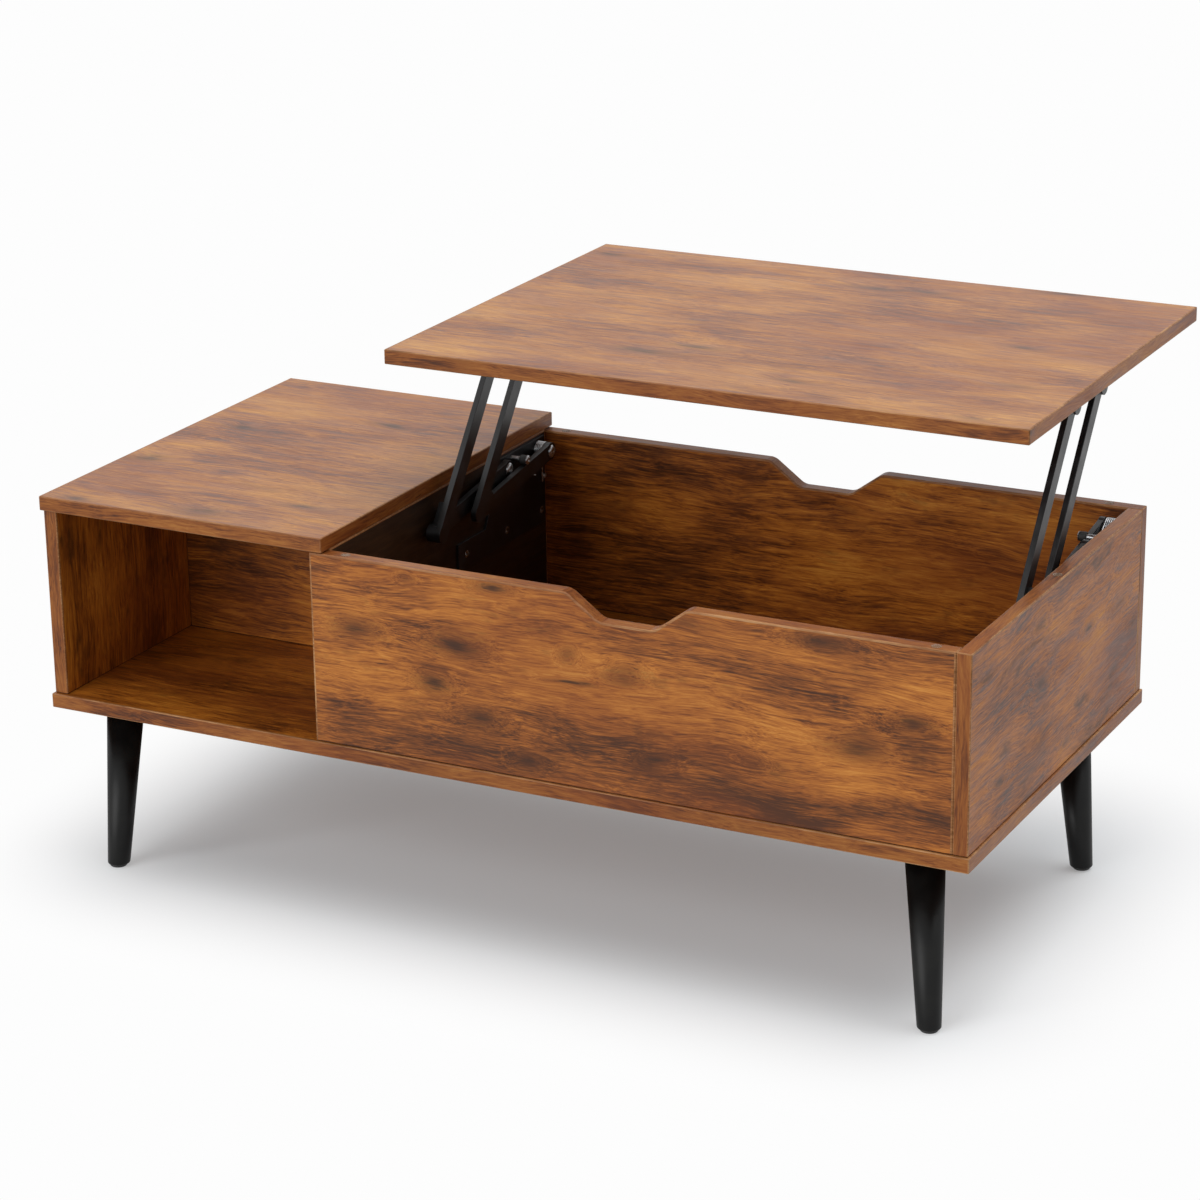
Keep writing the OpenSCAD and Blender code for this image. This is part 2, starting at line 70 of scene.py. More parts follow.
lens = bpy.data.cameras.new("viewpoint")
lens.sensor_width = SENSOR_WIDE
lens.lens = FOCAL_LENGTH
camera = bpy.data.objects.new("viewpoint", lens)
turn = Matrix.Rotation(YAW, 4, "Z") @ Matrix.Rotation(math.radians(90) + PITCH, 4, "X")
camera.matrix_world = Matrix.Translation(CAMERA_AT) @ turn @ Matrix.Rotation(ROLL, 4, "Z")
bpy.context.scene.collection.objects.link(camera)
bpy.context.scene.camera = camera
bpy.context.scene.view_settings.view_transform = "Standard"
print("camera", tuple(round(v, 3) for v in CAMERA_AT), "lens", lens.lens)

# %% [markdown]
# Node trees are built by one small function: it adds a node, sets its attributes, and fills each
# input with a value or with another node's output. Colours are written as the sRGB hex values that
# a paint chart would give, and turned to the linear values that the shaders want.

# %% Two helpers for every material
def colour(code):
    parts = [int(code[i : i + 2], 16) / 255 for i in (1, 3, 5)]
    return [c / 12.92 if c <= 0.04045 else ((c + 0.055) / 1.055) ** 2.4 for c in parts] + [1]


def put(tree, kind, inputs=None, **settings):
    new = tree.nodes.new("ShaderNode" + kind)
    for name, value in settings.items():
        setattr(new, name, value)
    for name, value in (inputs or {}).items():
        if isinstance(value, bpy.types.NodeSocket):
            tree.links.new(value, new.inputs[name])
        else:
            new.inputs[name].default_value = value
    return new


print("walnut in linear light", [round(c, 3) for c in colour("#7a4a2b")])

# %% [markdown]
# A surface starts as an empty tree with one principled shader. Constants such as the index of
# refraction are set straight on the shader.

# %% A material with its principled shader
def new_material(name, **constants):
    material = bpy.data.materials.new(name)
    material.use_nodes = True
    tree = material.node_tree
    tree.nodes.clear()
    shader = put(tree, "BsdfPrincipled", constants)
    put(tree, "OutputMaterial", {"Surface": shader.outputs[0]})
    return material, tree, shader


# %% [markdown]
# The floor is a pale studio sweep, matt enough to show nothing but the table's own shadow. Its
# paper bounces a plain grey but is seen as nearly white. Further off, where no shadow falls, it
# fades to white for the camera and in reflections, as a lit backdrop would. From below it is
# clear, so that the underside can be looked at.

# %% Which rays see the backdrop
def backdrop_rays(tree):
    rays = put(tree, "LightPath").outputs
    direct = {0: rays["Is Camera Ray"], 1: rays["Is Glossy Ray"]}
    seen = put(tree, "Math", direct, operation="MAXIMUM").outputs[0]
    through = {0: seen, 1: rays["Is Transmission Ray"]}
    return put(tree, "Math", through, operation="MAXIMUM").outputs[0]


# %% The floor's paper
UNDER_TABLE = (0.38, 0.19, 0)  # half sizes of the part that doesn't fade
# even under the table the camera sees white glow at a share of 0.09: painted light that lifts the
# shadow
FADE_OVER, FADE_LEAST = 0.28, 0.09
sweep, tree, shader = new_material(
    "matt_studio_paper", **{"Roughness": 0.95, "Specular IOR Level": 0.1},
)
place = put(tree, "TexCoord").outputs["Object"]
size = put(tree, "VectorMath", {0: place}, operation="ABSOLUTE").outputs[0]
outside = put(tree, "VectorMath", {0: size, 1: UNDER_TABLE}, operation="SUBTRACT").outputs[0]
outside = put(tree, "VectorMath", {0: outside, 1: (0, 0, 0)}, operation="MAXIMUM").outputs[0]
away = put(tree, "VectorMath", {0: outside}, operation="LENGTH").outputs["Value"]
inputs = {"Value": away, "From Max": FADE_OVER, "To Min": FADE_LEAST}
far = put(tree, "MapRange", inputs, interpolation_type="SMOOTHSTEP").outputs[0]
inputs = {0: far, 6: colour("#eff5f9"), 7: colour("#f7f8fa")}
seen = put(tree, "Mix", inputs, data_type="RGBA").outputs[2]
inputs = {0: backdrop_rays(tree), 6: colour("#b4b4b6"), 7: seen}
paper = put(tree, "Mix", inputs, data_type="RGBA").outputs[2]
tree.links.new(paper, shader.inputs["Base Color"])
print("paper fades over", FADE_OVER, "m")

# %% The floor's fade to white
far = put(tree, "Math", {0: far, 1: backdrop_rays(tree)}, operation="MULTIPLY").outputs[0]
white = put(tree, "Emission", {"Color": colour("#fdfdfd"), "Strength": 1.0})
lit = put(tree, "MixShader", {0: far, 1: shader.outputs[0], 2: white.outputs[0]})
below = put(tree, "NewGeometry").outputs["Backfacing"]
clear = put(tree, "BsdfTransparent").outputs[0]
both = put(tree, "MixShader", {0: below, 1: lit.outputs[0], 2: clear})
tree.links.new(both.outputs[0], tree.nodes["Material Output"].inputs["Surface"])

FLOOR_REACH = 30  # metres each way from the table
bm = bmesh.new()
bmesh.ops.create_grid(bm, x_segments=1, y_segments=1, size=FLOOR_REACH)
mesh = bpy.data.meshes.new("studio_floor")
bm.to_mesh(mesh)
bm.free()
mesh.materials.append(sweep)
floor = bpy.data.objects.new("studio_floor", mesh)
bpy.context.scene.collection.objects.link(floor)
print("floor", floor.dimensions[:])

# %% [markdown]
# The world is an even white dome at about half strength. One wide softbox above and one at the
# front left add the rest. The dome looks fully white only to the camera and in reflections.

# %% The dome
world = bpy.data.worlds.new("white_dome")
world.use_nodes = True
bpy.context.scene.world = world
tree = world.node_tree
tree.nodes.clear()
DOME_LIGHT = 0.42
inputs = {"Value": backdrop_rays(tree), "To Min": DOME_LIGHT, "To Max": 1.0}
strength = put(tree, "MapRange", inputs)
dome = put(tree, "Background", {"Color": colour("#ffffff"), "Strength": strength.outputs[0]})
put(tree, "OutputWorld", {"Surface": dome.outputs[0]})
print("dome lights at", DOME_LIGHT)

# %% The softboxes
AIMED_AT = Vector((0, 0, 0.3))
# name, place, width in metres, power in watts
SOFTBOXES = [
    ("top_softbox", (2.0, 1.4, 8.4), 7.0, 410),
    ("front_softbox", (-4.0, -10.0, 4.4), 8.0, 630),
]
for name, place, size, power in SOFTBOXES:
    lamp = bpy.data.lights.new(name, "AREA")
    lamp.shape = "SQUARE"
    lamp.size = size
    lamp.energy = power
    box = bpy.data.objects.new(name, lamp)
    box.location = place
    box.rotation_euler = (AIMED_AT - Vector(place)).to_track_quat("-Z", "Y").to_euler()
    bpy.context.scene.collection.objects.link(box)
print("softboxes", len(SOFTBOXES))

# %% [markdown]
# ## Rustic laminate
# The boards wear a paper printed with rustic hardwood, pressed under melamine. The eye reads it as
# long streaks along the board, lighter and darker clouds a hand wide, dark knots that the grain
# runs round, a few black checks, and a low satin shine with fine pores pressed into the face.
# The print is built in millimetres from the object's own coordinates: one turn brings the grain
# to the first axis, and a shift gives each board its own piece of the sheet.

# %% How the grain is laid
GRAIN_TURN = {"x": (0, 0, 0), "y": (0, 0, math.radians(-90)), "z": (0, math.radians(90), 0)}
ALONG = {"x": (1, 0, 0), "y": (0, 1, 0), "z": (0, 0, 1)}
IN_MM = (1000, 1000, 1000)
WANDER_WIDE = 80  # millimetres from one bend of the grain to the next
WANDER_BY = (30, 34, 34)
WANDER_LONG = (0.35, 1, 1)  # the bends are longer along the grain than across it


def grain_space(tree, along, shift):
    place = put(tree, "TexCoord").outputs["Object"]
    inputs = {"Vector": place, "Location": shift, "Rotation": GRAIN_TURN[along], "Scale": IN_MM}
    turned = put(tree, "Mapping", inputs).outputs[0]
    drawn = put(tree, "VectorMath", {0: turned, 1: WANDER_LONG}, operation="MULTIPLY").outputs[0]
    inputs = {"Vector": drawn, "Scale": 1 / WANDER_WIDE, "Detail": 3.0}
    noise = put(tree, "TexNoise", inputs).outputs["Color"]
    inputs = {0: noise, 1: (0.5, 0.5, 0.5)}
    centred = put(tree, "VectorMath", inputs, operation="SUBTRACT").outputs[0]
    wander = put(tree, "VectorMath", {0: centred, 1: WANDER_BY}, operation="MULTIPLY").outputs[0]
    moved = put(tree, "VectorMath", {0: turned, 1: wander}, operation="ADD").outputs[0]
    return place, moved, centred


def streaks(tree, vector, stretch, width, detail, roughness=0.6):
    inputs = {0: vector, 1: (1 / stretch, 1, 1)}
    drawn = put(tree, "VectorMath", inputs, operation="MULTIPLY").outputs[0]
    inputs = {"Vector": drawn, "Scale": 1 / width, "Detail": detail, "Roughness": roughness}
    return put(tree, "TexNoise", inputs).outputs["Fac"]


print("grain runs along", sorted(GRAIN_TURN))

# %% [markdown]
# A spot on the sheet is measured from its middle in half lengths and half widths, so the measure is
# 1 at its rim. The few large knots of a board are given one by one where they suit it, and small
# ones come from a Voronoi pattern, which scatters its cells evenly over the sheet. A cell is turned
# into a knot only where its random colour says so.

# %% How near a spot or a knot is
NOWHERE_NEAR = 9.0
KNOT_CELL = 120  # millimetres from one small knot to the next
KNOT_LONG = (0.5, 1, 1)  # small knots are twice as long as they are wide
RAGGED = (0.05, 0.05, 0.05)


def nearest_spot(tree, place, along, spots, nearest=NOWHERE_NEAR):
    for centre, length, width in spots:
        reach = [1000 / (length if share else width) for share in ALONG[along]]
        offset = [-c * MM * r for c, r in zip(centre, reach)]
        at = put(tree, "VectorMath", {0: place, 1: reach, 2: offset}, operation="MULTIPLY_ADD")
        away = put(tree, "VectorMath", {0: at.outputs[0]}, operation="LENGTH").outputs["Value"]
        nearest = put(tree, "Math", {0: nearest, 1: away}, operation="MINIMUM").outputs[0]
    return nearest


def knot_distance(tree, place, noise, along, knots, vector):
    ragged = put(tree, "VectorMath", {0: noise, 1: RAGGED}, operation="MULTIPLY").outputs[0]
    place = put(tree, "VectorMath", {0: place, 1: ragged}, operation="ADD").outputs[0]
    drawn = put(tree, "VectorMath", {0: vector, 1: KNOT_LONG}, operation="MULTIPLY").outputs[0]
    cells = put(tree, "TexVoronoi", {"Vector": drawn, "Scale": 1 / KNOT_CELL}).outputs
    pick = put(tree, "SeparateColor", {"Color": cells["Color"]}).outputs[0]
    inputs = {"Value": pick, "From Min": 0.45, "From Max": 1, "To Min": 0.004, "To Max": 0.06}
    size = put(tree, "MapRange", inputs).outputs[0]
    nearest = put(tree, "Math", {0: cells["Distance"], 1: size}, operation="DIVIDE").outputs[0]
    return nearest_spot(tree, place, along, knots, nearest)


def fade(tree, value, start, end, top=1.0):
    inputs = {"Value": value, "From Min": start, "From Max": end, "To Min": 0.0, "To Max": top}
    return put(tree, "MapRange", inputs, interpolation_type="SMOOTHSTEP").outputs[0]


def tint(tree, factor, below, above):
    return put(tree, "Mix", {0: factor, 6: below, 7: above}, data_type="RGBA").outputs[2]


# %% [markdown]
# The whole laminate is then one recipe. Clouds and streaks are weighed into one value that a
# colour ramp turns to amber and brown. Smoke, checks and knots darken it, and wide patches with
# soft rims deepen it where the wood was cut near the heart. The smoke is the print's own darker
# haze; on the shelf's back it is raised as painted shade. The same streaks move the roughness
# and the height a little, as the pressed pores do.

# %% The usual colours and how parts are weighed
AMBER_TO_BROWN = [
    (0.22, "#432109"), (0.36, "#6b3811"), (0.48, "#8f4f17"), (0.58, "#aa631e"), (0.70, "#bc7224"),
    (0.84, "#ce8831"),
]


def weigh(tree, *parts):
    total = 0.0
    for value, weight in parts:
        inputs = {0: value, 1: weight, 2: total}
        total = put(tree, "Math", inputs, operation="MULTIPLY_ADD").outputs[0]
    return total


# %% The laminate recipe
PORE_DEEP = 0.12 * MM
PATCH_DEEPENS = 0.065
REDDISH, SMOKE_AND_SHADE_TINT = "#85421a", "#46250f"
KNOT_RING, KNOT_HEART, CHECK = "#4c270e", "#29150a", "#221208"


def laminate(
    name, along, shift, knots=(), ramp=AMBER_TO_BROWN, smoke_and_shade=0.6, rough=(0.34, 0.5), gloss=0.3,
    spread=0.15, warm=0.35, ring=0.45, patches=(),
):
    material, tree, shader = new_material(name, **{"IOR": 1.5, "Specular IOR Level": gloss})
    place, vector, noise = grain_space(tree, along, shift)
    knot = knot_distance(tree, place, noise, along, knots, vector)
    push = put(tree, "CombineXYZ", {"Y": fade(tree, knot, 3.2, 0.4, top=9.0)}).outputs[0]
    vector = put(tree, "VectorMath", {0: vector, 1: push}, operation="ADD").outputs[0]
    clouds = streaks(tree, vector, stretch=2.6, width=70, detail=2.0)
    broad = streaks(tree, vector, stretch=13, width=6, detail=5.0, roughness=0.65)
    lines = streaks(tree, vector, stretch=24, width=2.1, detail=3.0, roughness=0.7)
    fibre = streaks(tree, vector, stretch=22, width=0.8, detail=2.0)
    value = weigh(
        tree, (clouds, 0.30), (broad, 0.27), (lines, 0.29), (fibre, 0.20), (1.0, -0.03),
    )
    if patches:
        near = nearest_spot(tree, place, along, patches)
        near = weigh(tree, (near, 1.0), (broad, -2.2), (lines, -1.0), (1.0, 1.6))
        value = weigh(tree, (fade(tree, near, 2.2, 0.3, PATCH_DEEPENS), -1.0), (value, 1.0))
    inputs = {"Value": value, "From Min": 0.5 - spread, "From Max": 0.5 + spread}
    level = put(tree, "MapRange", {**inputs, "To Min": 0.1, "To Max": 0.95}).outputs[0]
    colours = put(tree, "ValToRGB", {"Fac": level})
    steps = colours.color_ramp.elements
    steps[0].position, steps[0].color = ramp[0][0], colour(ramp[0][1])
    steps[1].position, steps[1].color = ramp[-1][0], colour(ramp[-1][1])
    for position, code in ramp[1:-1]:
        steps.new(position).color = colour(code)
    red = streaks(tree, vector, stretch=3, width=110, detail=2.0)
    base = tint(tree, fade(tree, red, 0.45, 0.65, warm), colours.outputs[0], colour(REDDISH))
    haze = streaks(tree, vector, stretch=2.2, width=30, detail=4.0)
    haze = weigh(tree, (haze, 0.62), (broad, 0.26), (lines, 0.12))
    base = tint(tree, fade(tree, haze, 0.54, 0.66, smoke_and_shade), base, colour(SMOKE_AND_SHADE_TINT))
    ragged = weigh(tree, (knot, 1.0), (broad, -2.2), (lines, -2.4), (1.0, 2.35))
    base = tint(tree, fade(tree, ragged, 2.6, 0.5, ring), base, colour(KNOT_RING))
    base = tint(tree, fade(tree, ragged, 1.2, 0.2, 0.8), base, colour(KNOT_HEART))
    checks = streaks(tree, vector, stretch=20, width=2.2, detail=2.0)
    base = tint(tree, fade(tree, checks, 0.71, 0.77, 0.75), base, colour(CHECK))
    tree.links.new(base, shader.inputs["Base Color"])
    inputs = {"Value": broad, "From Min": 0.3, "From Max": 0.7}
    shine = put(tree, "MapRange", {**inputs, "To Min": rough[0], "To Max": rough[1]})
    tree.links.new(shine.outputs[0], shader.inputs["Roughness"])
    bump = put(tree, "Bump", {"Strength": 0.5, "Distance": PORE_DEEP, "Height": lines})
    tree.links.new(bump.outputs[0], shader.inputs["Normal"])
    return material


print("laminate colours", len(AMBER_TO_BROWN))

# %% [markdown]
# Every board has its own laminate, because each is cut from another part of the sheet. Knots and
# patches are given as their middle in millimetres with a half length along the grain and a half
# width. The front wears a lighter copy of the print, painted light for its brightly lit face, and
# the two tops a paler, softer copy, painted light for the top light and sheen on them. The
# partition's side towards the well has a dark copy, painted shade for the shaded well, and the
# shelf's back has more of the darker haze, painted shade inside the shelf.

# %% The prints
# painted shade: a dark copy of the print for the partition's side in the shaded well
WELL_SIDE_SHADE_PRINT = [
    (0.22, "#140b06"), (0.36, "#1f130b"), (0.48, "#29190f"), (0.58, "#312012"), (0.70, "#3a2717"),
    (0.84, "#45301c"),
]
# painted light: a lighter copy of the print for the brightly lit front
FRONT_LIT_PRINT = [
    (0.22, "#482610"), (0.36, "#744019"), (0.48, "#985724"), (0.58, "#b16b2c"), (0.70, "#c37a33"),
    (0.84, "#d48e41"),
]
# painted light: a paler, softer copy of the print for the two tops, where top light and sheen fall
TOPS_LIT_PRINT = [
    (0.22, "#4f260d"), (0.36, "#783f18"), (0.48, "#955824"), (0.58, "#a86c2e"), (0.70, "#b87b37"),
    (0.84, "#c88f45"),
]
print("darkest colours", [ramp[0][1] for ramp in (WELL_SIDE_SHADE_PRINT, FRONT_LIT_PRINT, TOPS_LIT_PRINT)])

# %% The board faces
TOP_LOOK = {"ramp": TOPS_LIT_PRINT, "gloss": 0.55, "spread": 0.15, "smoke_and_shade": 0.22, "ring": 0.4}
FACES = {
    "front": laminate("rustic_laminate_front", "x", (40, 0, 0), [
        ((-135, -302, 317), 17, 8), ((-30, -302, 321), 19, 8), ((89, -302, 324), 7, 4),
        ((148, -302, 311), 15, 5), ((3, -302, 242), 18, 9), ((47, -302, 207), 13, 6),
        ((352, -302, 378), 22, 5), ((442, -302, 310), 16, 7), ((391, -302, 278), 20, 9),
        ((284, -302, 247), 10, 4), ((186, -302, 233), 13, 6), ((204, -302, 260), 34, 1.5),
        ((12, -302, 375), 15, 5), ((-83, -302, 374), 7, 3), ((86, -302, 301), 22, 1.2),
    ], ramp=FRONT_LIT_PRINT, patches=[
        ((190, -302, 238), 150, 22), ((300, -302, 212), 130, 13), ((430, -302, 222), 60, 12),
        ((327, -302, 380), 75, 9), ((3, -302, 244), 60, 13), ((-151, -302, 237), 36, 20),
        ((23, -302, 212), 95, 10),
    ]),
    "right": laminate("rustic_laminate_right", "y", (400, 300, 0), [
        ((498, -130, 360), 14, 8), ((498, -122, 300), 18, 9), ((498, 102, 309), 20, 7),
        ((498, 105, 354), 16, 7), ((498, -221, 244), 14, 6), ((498, 10, 314), 12, 5),
        ((498, -47, 216), 12, 5),
    ], smoke_and_shade=0.85, ring=0.25),
    "lift": laminate("rustic_laminate_lift_top", "x", (-320, 90, 500), [
        ((66, -83, 562), 26, 8), ((-139, 263, 562), 18, 7), ((107, -48, 562), 22, 6),
        ((237, -118, 562), 18, 5), ((434, -44, 562), 20, 6), ((395, 81, 562), 16, 6),
        ((368, 295, 562), 22, 5), ((172, 245, 562), 20, 6), ((229, 252, 562), 16, 5),
        ((436, -163, 562), 14, 4), ((-20, -38, 562), 16, 5),
    ], **TOP_LOOK),
    "fixed": laminate("rustic_laminate_fixed_top", "x", (700, 20, 100), [
        ((-470, -146, 405), 14, 8), ((-325, -280, 405), 26, 8), ((-233, -226, 405), 20, 6),
        ((-440, -10, 405), 14, 6), ((-300, 60, 405), 18, 6),
    ], **TOP_LOOK),
    "base": laminate("rustic_laminate_base", "x", (210, 640, -80)),
    "back": laminate("rustic_laminate_back", "x", (910, -340, 260)),
    "left": laminate("rustic_laminate_left", "z", (-150, 450, 820), smoke_and_shade=0.9),
    # painted shade: the partition's well side wears the dark copy of the print
    "divider": laminate(
        "painted_shade_laminate_divider", "y", (560, -700, 340), ramp=WELL_SIDE_SHADE_PRINT, smoke_and_shade=0, warm=0,
    ),
    # painted shade: more of the dark haze on the shelf's back, which stands in shade
    "shelf": laminate("rustic_laminate_shelf_back", "x", (-620, 180, -430), smoke_and_shade=0.95),
}
print("laminates", sorted(FACES))

# %% [markdown]
# The cut edges are hidden by a PVC band a millimetre thick, printed to match, with its grain along
# the edge. Its trimmed corner is printed paler: partly the wear of rubbing, partly a painted
# highlight where light would catch it. Where a board stands on another, or is set in between
# others, the corner is painted dark instead: painted shade in the seam.

# %% Edge bands and the rubbed corner
BAND = [
    (0.24, "#4c2710"), (0.38, "#713c17"), (0.50, "#8c5020"), (0.66, "#a0622a"), (0.82, "#b07436"),
]
# paler corner colours: rubbed wear with a painted highlight
WORN_AND_HIGHLIT = [(0.24, "#74481f"), (0.45, "#95643a"), (0.62, "#ad7b4d"), (0.82, "#c49566")]
# painted shade for the seams, and for every edge of the shelf's back
SEAM_SHADE = [(0.3, "#1f1008"), (0.5, "#3a1f0e"), (0.8, "#54301a")]
BANDS = {
    axis: laminate("pvc_edge_band_" + axis, axis, (130, 70, 310), ramp=BAND, smoke_and_shade=0.25)
    for axis in "xyz"
}
# the corner: worn, with a painted highlight
CORNER = laminate("pvc_edge_worn_and_highlit", "x", (77, 11, 5), ramp=WORN_AND_HIGHLIT, smoke_and_shade=0.1, rough=(0.4, 0.52))
# the seam: painted shade
SHADOW = laminate(
    "seam_painted_shade", "x", (31, 5, 9), ramp=SEAM_SHADE, smoke_and_shade=0.1, rough=(0.7, 0.8),
)
print("bands", sorted(BANDS))

# %% [markdown]
# ## Boards
# A board is a cube stretched to its node's box. Its edges are eased with a small round bevel, and
# each face is inset by the thickness of the edge band, which shows as a thin lighter line, a
# painted highlight. Faces get their material by the way they point, and the two faces of one
# board may wear different prints: the partition's well side wears painted shade. A piece rides
# on its body and replaces its CAD node.

# %% Helpers for solid pieces
def sharp_edges(bm, degrees):
    sharp = math.radians(degrees)
    return [e for e in bm.edges if e.is_manifold and e.calc_face_angle() > sharp]


def ease(bm, edges, width, segments=3):
    return bmesh.ops.bevel(
        bm, geom=edges, offset=width, offset_type="OFFSET", segments=segments, profile=0.5,
        affect="EDGES", clamp_overlap=True, material=-1,
    )["faces"]


def settle(bm, name, body, slot, materials, *nodes):
    bmesh.ops.recalc_face_normals(bm, faces=bm.faces)
    mesh = bpy.data.meshes.new(name)
    bm.to_mesh(mesh)
    bm.free()
    mesh.shade_smooth()
    for material in materials:
        mesh.materials.append(material)
    piece = bpy.data.objects.new(name, mesh)
    bpy.context.scene.collection.objects.link(piece)
    piece.modifiers.new("flat_faces_stay_flat", "WEIGHTED_NORMAL").keep_sharp = True
    if body:
        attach(piece, body)
    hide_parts(*nodes)
    print(name, "faces", len(mesh.polygons), "stands for", ", ".join(nodes))
    return piece


# %% Bands, corners and faces of a board
BAND_THICK = 1.0 * MM
EASED = 1.1 * MM
# the lit corner slot holds a painted highlight, the seam corner slot painted shade
LOW_FACE, FIRST_BAND, LIT_CORNER, SHADED_CORNER, HIGH_FACE = 0, 1, 4, 5, 6  # material slots


def panel_materials(face):
    # the partition's well side wears the painted shade copy, its shelf side the shelf's print
    low_face = FACES["shelf" if face == "divider" else face]
    return [low_face, BANDS["x"], BANDS["y"], BANDS["z"], CORNER, SHADOW, FACES[face]]


def finish_board(bm, name, body, slot, face, thick, *nodes):
    for f in bm.faces:
        way = max(range(3), key=lambda i: abs(f.normal[i]))
        if way == thick:
            f.material_index = HIGH_FACE if f.normal[way] > 0 else LOW_FACE
        else:
            corners = [v.co for v in f.verts]
            spans = [max(c[i] for c in corners) - min(c[i] for c in corners) for i in range(3)]
            longest = max((i for i in range(3) if i != way), key=lambda i: spans[i])
            f.material_index = FIRST_BAND + longest
    foot = min(v.co.z for v in bm.verts)
    stands = abs(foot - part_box("bottom_board")[1].z) < 0.1 * MM
    # the shelf's back stands in shade: all its edges get painted shade and none a painted highlight
    shelf_in_shade = face == "shelf"
    # bevel corners get a painted highlight; those in a seam, and all on the shelf's back, get painted
    # shade
    for f in ease(bm, sharp_edges(bm, 30), EASED):
        in_seam = shelf_in_shade or stands and f.calc_center_median().z < foot + EASED
        f.material_index = SHADED_CORNER if in_seam else LIT_CORNER
    bm.normal_update()
    printed = [
        f for f in bm.faces
        if abs(f.normal[thick]) > 0.999 and f.material_index in (LOW_FACE, HIGH_FACE)
    ]
    rims = bmesh.ops.inset_region(
        bm, faces=printed, thickness=BAND_THICK, depth=0, use_even_offset=True,
    )["faces"]
    # the rims show as a thin painted highlight, except where they run into a shaded seam
    for f in rims:
        if not shelf_in_shade and (not stands or f.calc_center_median().z > foot + EASED + BAND_THICK):
            f.material_index = LIT_CORNER
    return settle(bm, name, body, slot, panel_materials(face), *nodes)


def board(name, node, face, body="case", slot="wood_laminate"):
    low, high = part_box(node)
    size = high - low
    thick = min(range(3), key=lambda i: size[i])
    bm = bmesh.new()
    bmesh.ops.create_cube(bm, size=1.0)
    bmesh.ops.scale(bm, vec=size, verts=bm.verts)
    bmesh.ops.translate(bm, vec=(low + high) / 2, verts=bm.verts)
    return finish_board(bm, name, body, slot, face, thick, node)


# %% The plain boards
board("base_leaf", "bottom_board", "base")
board("left_end_wall", "left_side_panel", "left")
board("right_end_wall", "right_side_panel", "right")
board("partition_wall", "divider_panel", "divider", slot="shaded_laminate")
board("shelf_mid_wall", "shelf_back_panel", "shelf", slot="shaded_laminate")
board("fixed_top_leaf", "left_top_board", "fixed")
board("lift_top_leaf", "lift_top", "lift", body="raised_top")

# %% [markdown]
# The two long walls of the well have a hand notch in the top edge, so that fingers can reach under
# the closed top. The wall starts as an outline of eight corners. The four corners of the notch are
# rounded while it is still flat, and then the face is extruded to the board's thickness.

# %% The notched walls
NOTCH_WIDE, NOTCH_FLAT, NOTCH_DEEP, NOTCH_ROUND = 125 * MM, 57 * MM, 25 * MM, 14 * MM
WELL_MIDDLE = (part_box("left_base_plate")[0].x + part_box("right_base_plate")[1].x) / 2
NOTCH_SLOPE = math.atan2(NOTCH_DEEP, (NOTCH_WIDE - NOTCH_FLAT) / 2)
ROUND_FROM = NOTCH_ROUND * math.tan(NOTCH_SLOPE / 2)  # from a corner to where its round starts


def notched_wall(name, node, face):
    low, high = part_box(node)
    top, dip = high.z, high.z - NOTCH_DEEP
    left, right = WELL_MIDDLE - NOTCH_WIDE / 2, WELL_MIDDLE + NOTCH_WIDE / 2
    outline = [
        (low.x, low.z), (high.x, low.z), (high.x, top), (right, top),
        (WELL_MIDDLE + NOTCH_FLAT / 2, dip), (WELL_MIDDLE - NOTCH_FLAT / 2, dip),
        (left, top), (low.x, top),
    ]
    bm = bmesh.new()
    corners = [bm.verts.new((x, low.y, z)) for x, z in outline]
    bm.faces.new(corners)
    bmesh.ops.bevel(
        bm, geom=corners[3:7], offset=ROUND_FROM, offset_type="OFFSET", segments=8, profile=0.5,
        affect="VERTICES", clamp_overlap=True, material=-1,
    )
    grown = bmesh.ops.extrude_face_region(bm, geom=list(bm.faces))["geom"]
    moved = [v for v in grown if isinstance(v, bmesh.types.BMVert)]
    bmesh.ops.translate(bm, vec=(0, high.y - low.y, 0), verts=moved)
    bmesh.ops.recalc_face_normals(bm, faces=bm.faces)
    return finish_board(bm, name, "case", "wood_laminate", face, 1, node)


notched_wall("front_wall", "front_panel", "front")
notched_wall("back_wall", "back_panel", "back")

# %% [markdown]
# ## Legs
# The legs are turned from beech, tapered and splayed, and sprayed in satin black lacquer. Each is a
# cone laid along its own lean, cut level at the floor end and under the board. The foot's rim is
# rounded, because a sharp lacquered rim would chip.

# %% One recipe for the plain finishes
def finish(name, patch, dark, light, rough, grit, deep, **constants):
    """Clouds `patch` mm wide between two colours, and grit `grit` mm wide and `deep` mm high."""
    material, tree, shader = new_material(name, **constants)
    place = put(tree, "TexCoord").outputs["Object"]
    drawn = put(tree, "Mapping", {"Vector": place, "Scale": IN_MM}).outputs[0]
    inputs = {"Vector": drawn, "Scale": 1 / patch, "Detail": 5.0}
    cloud = put(tree, "TexNoise", inputs).outputs["Fac"]
    base = tint(tree, fade(tree, cloud, 0.4, 0.68), colour(dark), colour(light))
    tree.links.new(base, shader.inputs["Base Color"])
    inputs = {"Value": cloud, "From Min": 0.3, "From Max": 0.7}
    shine = put(tree, "MapRange", {**inputs, "To Min": rough[0], "To Max": rough[1]})
    tree.links.new(shine.outputs[0], shader.inputs["Roughness"])
    inputs = {"Vector": drawn, "Scale": 1 / grit, "Detail": 2.0}
    height = put(tree, "TexNoise", inputs).outputs["Fac"]
    bump = put(tree, "Bump", {"Strength": 0.4, "Distance": deep * MM, "Height": height})
    tree.links.new(bump.outputs[0], shader.inputs["Normal"])
    print("made", name)
    return material


